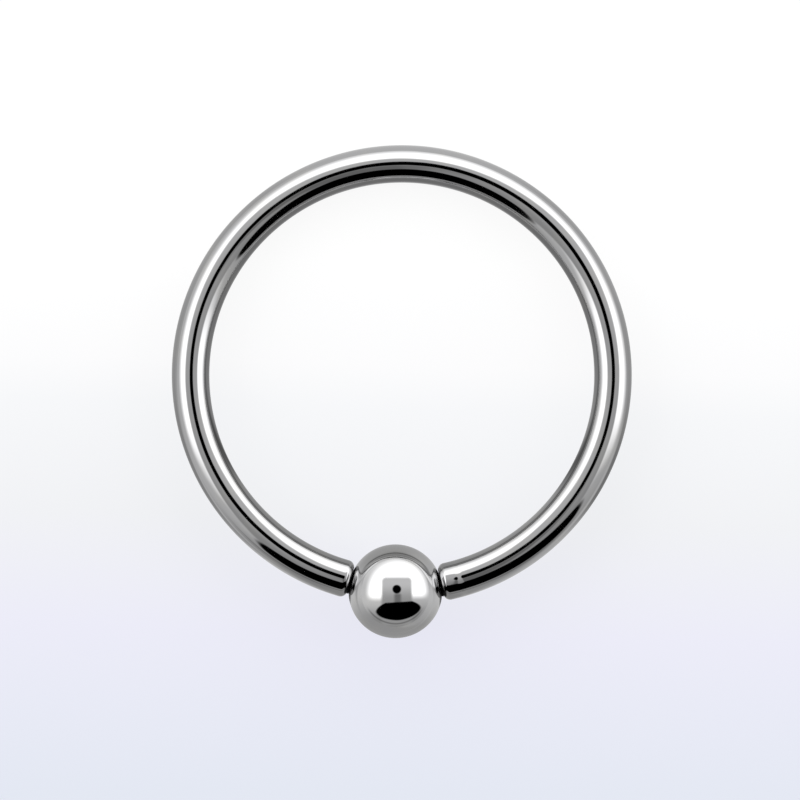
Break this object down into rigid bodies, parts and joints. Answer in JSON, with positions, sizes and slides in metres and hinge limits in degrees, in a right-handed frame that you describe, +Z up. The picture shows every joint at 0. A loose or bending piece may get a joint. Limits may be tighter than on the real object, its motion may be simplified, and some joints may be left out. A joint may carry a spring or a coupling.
{
  "type": "captive bead ring",
  "caption": "Open round wire ring for a piercing, with a bead held between its ends; the bead turns on small pivots in its dimples.",
  "frame": {"origin": "On the surface that the ring lies on, under the middle of the box round the whole part", "axes": "+Z up from the surface, roughly along the ring's own axis; +Y from the bead to the far side of the wire; +X across the ring"},
  "size_m": [0.0196, 0.021, 0.004],
  "materials": {
    "ring_steel": "mirror-polished surgical stainless steel wire",
    "bead_steel": "mirror-polished surgical stainless steel ball"
  },
  "bodies": {
    "wire_ring": {"ring": "ring_steel"},
    "captive_bead": {"bead": "bead_steel"}
  },
  "joints": [
    {"name": "bead_spin", "type": "hinge", "parent": "wire_ring", "child": "captive_bead", "pos_m": [0, -0.00849, 0.002], "axis": [1, 0, 0], "continuous": true}
  ]
}
